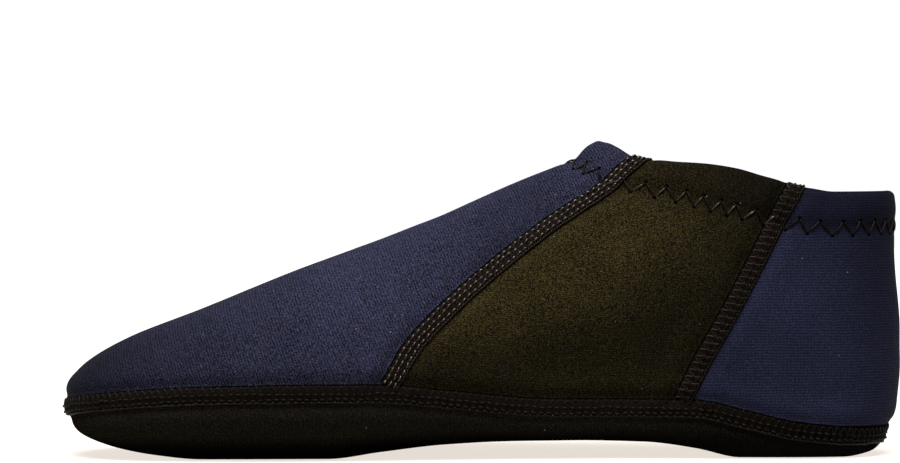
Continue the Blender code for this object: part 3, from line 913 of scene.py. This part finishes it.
# Only the walls are soft and uneven: what lies on the floor stays flat.
lifted = np.clip((points[:, 2] - LIFT_START) / LIFT_RISE, 0, 1)
shift = swell(distances(seam_trees["sole", 0], points), SOLE_FORMS)
shift = (shift + SOLE_UNEVEN_HEIGHT * unevenness(points, SOLE_UNEVEN_A_MM)) * lifted
out = normals_of(points, faces)
outside = points + out * shift[:, None]
inside = outside - out * SOLE_WALL
sole = shell("sole_tray", outside, inside, faces, knit, tone, [black_sole, black_lining], np.ones(len(faces)))
outer_skins.append((outside, faces))
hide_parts("sole")
print("sole", len(sole.data.polygons), "faces, lowest", round(outside[:, 2].min(), 3), "mm")

# %% [markdown]
# ## Laying thread
#
# A stitch lies on whatever carries it. Curve objects with a shrinkwrap modifier could follow the cloth, but
# they can't dive into it at each needle hole. So each thread is first drawn in the flat, as a distance along
# a seam and a distance across it. Then every point is dropped onto the nearest cloth and lifted by its own
# height. A thread is a tube of five sides, which is round enough at half a millimetre.


# %% Cloth to sew on
def skin_tree(skins):
    """A search tree over cloth skins."""
    points, faces, start = [], [], 0
    for skin, skin_faces in skins:
        points.extend(map(Vector, skin))
        faces.extend([i + start for i in f] for f in skin_faces)
        start += len(skin)
    return BVHTree.FromPolygons(points, faces)


def lay(tree, points, heights):
    """Points dropped onto the cloth and lifted by their heights, with the directions out of the cloth."""
    spots, ways = [], []
    for point in points:
        spot, way, _, _ = tree.find_nearest(Vector(point))
        spots.append(spot)
        ways.append(way)
    ways = np.array(ways)
    smooth = np.vstack([ways[:1], (ways[:-2] + ways[1:-1] + ways[2:]), ways[-1:]])
    smooth /= np.linalg.norm(smooth, axis=1)[:, None]
    return np.array(spots) + smooth * np.reshape(heights, (-1, 1)), smooth


outer_tree = skin_tree(outer_skins)
whole_tree = skin_tree(outer_skins + inner_skins)
inner_tree = skin_tree(inner_skins)
print("cloth to sew on:", len(outer_skins), "outer skins")

# %% Threads
THREAD_SIDES = 5


def sweep(rings, closed):
    """Points and faces of a tube through rings of points, capped unless it is closed."""
    count, sides = rings.shape[:2]
    ring, side = np.meshgrid(np.arange(count if closed else count - 1), np.arange(sides), indexing="ij")
    here, there = ring * sides, (ring + 1) % count * sides
    after = (side + 1) % sides
    quads = [here + side, here + after, there + after, there + side]
    faces = np.stack(quads, axis=-1).reshape(-1, 4).tolist()
    if not closed:
        faces += [list(range(sides))[::-1], list(range((count - 1) * sides, count * sides))]
    return rings.reshape(-1, 3), faces


def unit(vectors):
    """The same directions with length 1."""
    return vectors / np.maximum(np.linalg.norm(vectors, axis=1), 1e-9)[:, None]


def flow(points, closed):
    """Directions along a line of points."""
    if closed:
        return unit(np.roll(points, -1, axis=0) - np.roll(points, 1, axis=0))
    return unit(np.gradient(points, axis=0))


def thread(centre, out, radius, closed, sides=THREAD_SIDES):
    """A round thread along a line."""
    ahead = flow(centre, closed)
    across = unit(np.cross(out, ahead))
    up = np.cross(ahead, across)
    angles = np.arange(sides) * 2 * np.pi / sides
    rings = centre[:, None] + radius * (np.cos(angles)[None, :, None] * up[:, None]
                                        + np.sin(angles)[None, :, None] * across[:, None])
    return sweep(rings, closed)


print("a thread has", THREAD_SIDES, "sides")


# %% Joining threads
def thread_painted_shade(x, z):
    """Painted shade: low round the heel the thread is darkened."""
    return np.maximum(ramp(x, 100, 50, 0.25), ramp(z, 14, 20, 0.0))


def join(name, parts, materials):
    """One piece from several meshes, with the material of each."""
    points, faces, slots, start = [], [], [], 0
    for (some_points, some_faces), slot in parts:
        points.append(some_points)
        faces.extend([i + start for i in f] for f in some_faces)
        slots.extend(np.broadcast_to(slot, len(some_faces)))
        start += len(some_points)
    piece = new_piece(name, np.vstack(points) * MM, faces, materials)
    piece.data.polygons.foreach_set("material_index", np.array(slots, np.int32))
    x, _, z = np.vstack(points).T
    layer = piece.data.attributes.new("tone", "FLOAT", "POINT")
    layer.data.foreach_set("value", thread_painted_shade(x, z).astype(np.float32))
    made = bmesh.new()
    made.from_mesh(piece.data)
    bmesh.ops.recalc_face_normals(made, faces=made.faces)
    made.to_mesh(piece.data)
    made.free()
    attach(piece, "root")
    print(name, len(piece.data.polygons), "faces")
    return piece


print("tone of the thread low at the heel", float(thread_painted_shade(120.0, 8.0)))

# %% [markdown]
# ## Thread material
#
# The seams are sewn with textured polyester thread. It is dyed black, but the filaments are smooth and round,
# so the crown of each stitch shows a small bright glint. The glint could be painted on, but then it would not
# move with the light. A lower roughness than the cloth's gives it. Three copies of the thread differ in
# roughness, shine and tone, and each is put where that much light falls: painted glints and painted shade.
# Single filaments are too fine to show in the render, so the noise that stands for them is drawn about half
# a millimetre coarse.

# %% Thread and seam-bed materials
# The dye shows through the filaments, so the glint is warm.
WARM_GLINT = (1.0, 0.78, 0.64, 1.0)


def sewn(name, dark, light, roughness, shine, fibre_mm=0.625, relief_mm=0.05):
    """Black polyester: thread, or a bed of it, with fibres that vary its tone, darkened by painted shade from
    its tone attribute.
    """
    material, tree, shader = new_material(name)
    spot = add(tree, "TexCoord", out="Object")
    fibre = add(tree, "TexNoise", [("Vector", spot), ("Scale", 1 / (fibre_mm * MM)), ("Detail", 2.0)])
    tint = add(tree, "Mix", [(0, fibre), (6, colour(dark)), (7, colour(light))], out=2, data_type="RGBA")
    painted_shade = add(tree, "Attribute", out="Fac", attribute_name="tone")
    toned = add(tree, "VectorMath", [(0, tint), ("Scale", painted_shade)], operation="SCALE")
    bump = add(tree, "Bump", [("Height", fibre), ("Strength", 0.8), ("Distance", relief_mm * MM)])
    feed(tree, shader, [("Base Color", toned), ("Normal", bump), ("Roughness", roughness),
                        ("Specular IOR Level", shine), ("Specular Tint", WARM_GLINT)])
    return material


# Lit copy of one black thread: glossy, so the crown of each stitch shows a glint. It is put where thread
# would catch the light.
black_thread = sewn("black_polyester_thread_glossy", "#010101", "#0D0907", roughness=0.32, shine=0.42)
# Half-lit copy of the same thread: a softer glint, for thread that catches less light.
half_lit_thread = sewn("black_polyester_thread_half_lit", "#010101", "#0B0806", roughness=0.40, shine=0.09)
# Shaded copy of the same thread: its glints are faint, painted shade for thread out of the light.
dull_thread = sewn("black_polyester_thread_shaded", "#020101", "#0A0705", roughness=0.46, shine=0.05)
# The bed is the mass of thread below the crowns: matted, so it has no glints.
seam_bed = sewn("black_overlock_bed_matted", "#050403", "#0C0906", roughness=0.8, shine=0.02,
                fibre_mm=0.4545, relief_mm=0.25)
# The ditch is where cloth meets seam: it gets hardly any light, so it reads as a dark line.
seam_ditch = sewn("black_seam_ditch_shaded", "#000000", "#020202", roughness=0.9, shine=0.01,
                  fibre_mm=0.8333, relief_mm=0.1)
print("thread materials", [m.name for m in (black_thread, half_lit_thread, dull_thread, seam_bed, seam_ditch)])

# %% [markdown]
# ## Flat seams
#
# A flat seam is made by four needles and cover threads that cross from edge to edge. On the shoe it reads as
# a ribbon six millimetres wide: a twisted rope along one edge, two or three rows of beads where a needle
# thread crowns between two holes, loops along the other edge and faint bars between. A bump could draw them,
# but they stand out in the outline, so they are geometry: a bed of matted thread with each of these laid on
# it. The bed's own edge is a dark ditch, which is what sets the seam off from the cloth. The stitches are
# drawn a little longer than real ones, so that single stitches show.

# %% Flat seam sizes
STITCH, LINE_STEP = 2.3, 0.35
SEAM_EDGE, BED_EDGE, DITCH_CROWN, BED_CROWN = 3.05, 2.65, 0.08, 0.28
# The section of a band, as shares of its half width. Its foot lies in the cloth.
BAND_ROWS, BAND_LIFT, FOOT_SHARE, FOOT_HEIGHT = (-1, -0.85, -0.4, 0.0, 0.4, 0.85, 1), 0.04, 0.9, -0.3
FINE_RADIUS, BEAD_RADIUS = 0.27, 0.38
# The place of each strand across the seam, how far it swings, its height and how much that varies.
ROPE_AT, ROPE_SWING, ROPE_HEIGHT, ROPE_RISE = 2.45, 0.16, 0.30, 0.18
LOOP_AT, LOOP_SWING, LOOP_HEIGHT, LOOP_RISE = -1.75, 0.75, 0.18, 0.10
BAR_SWING, BAR_HEIGHT, BAR_RISE, BAR_DROP = 2.2, 0.27, 0.08, 0.10
# Rows of beads: how far across the seam, and how far along its stitch a bead is.
BEAD_ROWS, BEAD_DIVE, BEAD_RISE = ((1.45, 0.0), (-0.15, 0.1), (-1.75, 0.45)), -0.34, 0.90
print("flat seam", 2 * SEAM_EDGE, "mm wide, stitches", STITCH, "mm long")


# %% Flat seam maker and the sole seam
def flat_seam(name, line, closed, tree, node, rope_side, rope, beads, loops, bead_rows=2):
    """The thread of one flat seam, laid along a line on the cloth, with its rope on one side of the line."""
    rng = np.random.default_rng(len(name))
    centre = dense(line, LINE_STEP, closed)
    count = int(round(LINE_STEP * len(centre) / STITCH / 2)) * 2
    base, out = lay(tree, centre, np.zeros(len(centre)))
    side = unit(np.cross(out, flow(base, closed))) * rope_side
    knots = np.arange(len(base) + closed)
    wrapped = [np.vstack([a, a[:1]]) if closed else a for a in (base, side)]

    def stitches(samples):
        """Numbers of stitches along the seam, with so many samples to a stitch."""
        return np.linspace(0, count, count * samples + 1)[: count * samples + (not closed)]

    def strand(at, across, height):
        """Points of one strand on the cloth, and the directions out of the cloth there."""
        where = at / count * knots[-1]
        spots = [np.column_stack([np.interp(where, knots, values) for values in a.T]) for a in wrapped]
        across, height = (np.broadcast_to(a, len(at)) for a in (across, height))
        return lay(tree, spots[0] + spots[1] * across[:, None], height)

    def uneven(at, size):
        """A small random amount for each stitch, as a machine on soft cloth gives."""
        return np.interp(at, np.arange(count + 1), rng.normal(0, size, count + 1))

    def band(edge, crown):
        """A flat band along the seam, a little raised in the middle."""
        at = stitches(2)
        rows = [(edge * w, BAND_LIFT + crown * (1 - w ** 4)) for w in BAND_ROWS]
        rows += [(FOOT_SHARE * edge, FOOT_HEIGHT), (-FOOT_SHARE * edge, FOOT_HEIGHT)]
        return sweep(np.stack([strand(at, w, h)[0] for w, h in rows], axis=1), closed)

    parts = [(band(SEAM_EDGE, DITCH_CROWN), 2), (band(BED_EDGE, BED_CROWN), 1)]
    at = stitches(7)
    for turn in (0.0, np.pi):
        wind = 2 * np.pi * at + turn
        across = ROPE_AT + ROPE_SWING * np.cos(wind) + uneven(at, 0.07)
        height = ROPE_HEIGHT + ROPE_RISE * np.sin(wind)
        parts.append((thread(*strand(at, across, height), FINE_RADIUS, closed), 0))
    for across, phase in BEAD_ROWS[:bead_rows]:
        height = BEAD_DIVE + (BEAD_RISE + uneven(at, 0.15)) * np.abs(np.sin(np.pi * (at + phase))) ** 0.9
        parts.append((thread(*strand(at, across + uneven(at, 0.14), height), BEAD_RADIUS, closed), 3))
    at = stitches(8)
    height = LOOP_HEIGHT + LOOP_RISE * np.sin(4 * np.pi * at) + uneven(at, 0.05)
    across = LOOP_AT - (LOOP_SWING + uneven(at, 0.15)) * np.cos(2 * np.pi * at)
    parts.append((thread(*strand(at, across, height), FINE_RADIUS, closed), 4))
    for sign in (1, -1):
        across = sign * (BAR_SWING + uneven(at, 0.12)) * np.cos(np.pi * at)
        height = BAR_HEIGHT + BAR_RISE * sign * np.sin(2 * np.pi * at) - BAR_DROP * (across / BAR_SWING) ** 2
        parts.append((thread(*strand(at, across, height), FINE_RADIUS, closed), 4))
    piece = join(name, parts, [rope, seam_bed, seam_ditch, beads, loops])
    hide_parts(node)


# The sole seam sits low, where little light reaches: its rope gets the half-lit copy of the thread, and its
# beads and loops the shaded copy.
flat_seam("sole_seam_stitching", seam_lines["sole", 0], True, outer_tree, "seam_sole", 1,
          half_lit_thread, dull_thread, dull_thread)

# %% [markdown]
# ## Panel seams
#
# A panel seam starts at the sole seam and runs up to the collar. The collar was turned in after the panels
# were joined, so the seam goes over the fold and ends inside, under the hem's own stitches. It could stop at
# the edge, but then the fold would look cut, so its line is bent round the fold before the thread is laid.

# %% Panel seams
SEAM_START, FOLD_STEPS, INSIDE_END, INSIDE_STEP = 2.4, 9, 10.0, 0.5
# How many points back from the edge its slope and the way out of the cloth are read.
SLOPE_BACK, WAY_BACK = 8, 10


def over_collar(line):
    """A panel seam's line from the edge of the sole seam, over the fold, to the hem's raw edge inside."""
    ring = seam_trees["sole", 0]
    outside = np.array([p for p in dense(line, SEAM_STEP, False) if ring.find(Vector(p))[2] > SEAM_START])
    edge, before = outside[-1], outside[-SLOPE_BACK]
    _, out, _, _ = outer_tree.find_nearest(Vector(outside[-WAY_BACK]))
    out = np.array(out)
    down = unit((before - edge)[None, :])[0]
    inward = -unit((out - down * (out @ down))[None, :])[0]
    radius = HEM_WALL / 2
    turns = np.linspace(0, np.pi, FOLD_STEPS + 2)[1:-1]
    kept = outside[[np.linalg.norm(p - edge) > radius for p in outside]]
    fold = [edge + down * radius * (1 - np.sin(a)) + inward * radius * (1 - np.cos(a)) for a in turns]
    inside = [edge + down * d + inward * HEM_WALL for d in np.arange(radius, INSIDE_END, INSIDE_STEP)]
    return np.vstack([kept, fold, inside])


# Rope, beads and loops of each seam, and its rows of beads. The copies of the thread are chosen for how the
# light falls: thread that lies level would shine most under a soft box, so the beads along the slanting vamp
# seam get the lit copy and the loops across the steep heel seam the half-lit one.
PANEL_THREADS = {"vamp": (half_lit_thread, black_thread, dull_thread, 3),
                 "heel": (dull_thread, dull_thread, half_lit_thread, 2)}
for side, word in SIDES:
    for name, threads in PANEL_THREADS.items():
        flat_seam(f"{name}_seam_stitching_{word}", over_collar(seam_lines[name, side]), False, whole_tree,
                  f"seam_{name}_{word}", side, *threads)

# %% [markdown]
# ## Hem zigzag
#
# The turned collar is held down by one row of wide zigzag stitches, which can stretch with the foot. It is
# about twelve millimetres below the edge, with a full zigzag every six millimetres. A repeated stitch could
# be placed by an array modifier, but it would not follow the edge's changing distance. So lines are first
# laid below the edge, a millimetre apart, and the zigzag is drawn between them. Each leg lies on the cloth
# and dives into it at both ends. The same row shows inside.

# %% Lines below the collar
EDGE_STEP, LINES_BELOW = 0.5, 17
edge = dense(collar_line, EDGE_STEP, True)
last_tree = skin_tree(last_skins)
line = edge
_, out = lay(last_tree, line, np.zeros(len(line)))
down = np.cross(out, flow(line, True))
down *= np.where(down[:, 2:3] > 0, -1.0, 1.0)
lines = [line]
for _ in range(LINES_BELOW):
    down = unit(down + np.roll(down, 1, axis=0) + np.roll(down, -1, axis=0))
    line, out = lay(last_tree, line + down, np.zeros(len(line)))
    down = unit(down - out * (down * out).sum(axis=1)[:, None])
    lines.append(line)
below = np.stack(lines)
print("lines below the collar", len(lines), "with", len(edge), "points each")

# %% Zigzag
ZIGZAG, ZIGZAG_WIDTH, LEG_SAMPLES = 6.0, 4.0, 8
LEG_RADIUS, LEG_DIVE, LEG_RISE = 0.34, -0.34, 0.84
INSIDE_RADIUS, INSIDE_DIVE, INSIDE_RISE, INSIDE_DEPTH = 0.25, -0.25, 0.6, 3.2
HOLE_RADIUS, HOLE_DEPTH, HOLE_TOP, HOLE_SIDES = 0.6, 0.5, 0.08, 10
SHADED_FROM = 90
legs = 2 * int(round(EDGE_STEP * len(edge) / ZIGZAG))


def zigzag_path(at, width):
    """Points of a zigzag below the collar, for numbers of legs along it."""
    near = np.floor(at / legs * len(edge)).astype(int)
    after = (near + 1) % len(edge)
    deep = hem_at(edge)[near] + width * (np.abs((at % 2) - 1) - 0.5)
    row = np.floor(deep).astype(int)
    part, rest = (at / legs * len(edge) - near)[:, None], (deep - row)[:, None]
    upper, lower = (below[r, near] * (1 - part) + below[r, after] * part for r in (row, row + 1))
    return upper * (1 - rest) + lower * rest


at = np.arange(legs * LEG_SAMPLES) / LEG_SAMPLES
crown = np.sin(np.pi * (at % 1)) ** 0.8
outer_row = lay(outer_tree, zigzag_path(at, ZIGZAG_WIDTH), LEG_DIVE + LEG_RISE * crown)
inner_row = lay(inner_tree, outer_row[0] - outer_row[1] * INSIDE_DEPTH, INSIDE_DIVE + INSIDE_RISE * crown)
# Every other leg lies across the soft box and gets the lit copy of the thread along its middle, a painted
# glint. Round the heel all legs get the shaded copy.
shining = np.where((np.abs(at % 2 - 1.5) < 0.3) & (outer_row[0][:, 0] < SHADED_FROM), 0, 2)
parts = [(thread(*outer_row, LEG_RADIUS, True), np.repeat(shining, THREAD_SIDES)),
         (thread(*inner_row, INSIDE_RADIUS, True), 2)]
# A needle hole is a short black plug just past the end of a leg, painted shade for the dark inside the hole.
spots, ways = lay(outer_tree, zigzag_path(at[::LEG_SAMPLES], ZIGZAG_WIDTH + HOLE_RADIUS), np.zeros(legs))
for spot, way, along in zip(spots, ways, flow(spots, True)):
    plug = np.array([spot - HOLE_DEPTH * way, spot + HOLE_TOP * way])
    parts.append((thread(plug, np.array([along, along]), HOLE_RADIUS, False, HOLE_SIDES), 1))
join("hem_zigzag_stitching", parts, [black_thread, seam_ditch, dull_thread])
print("zigzag legs", legs)
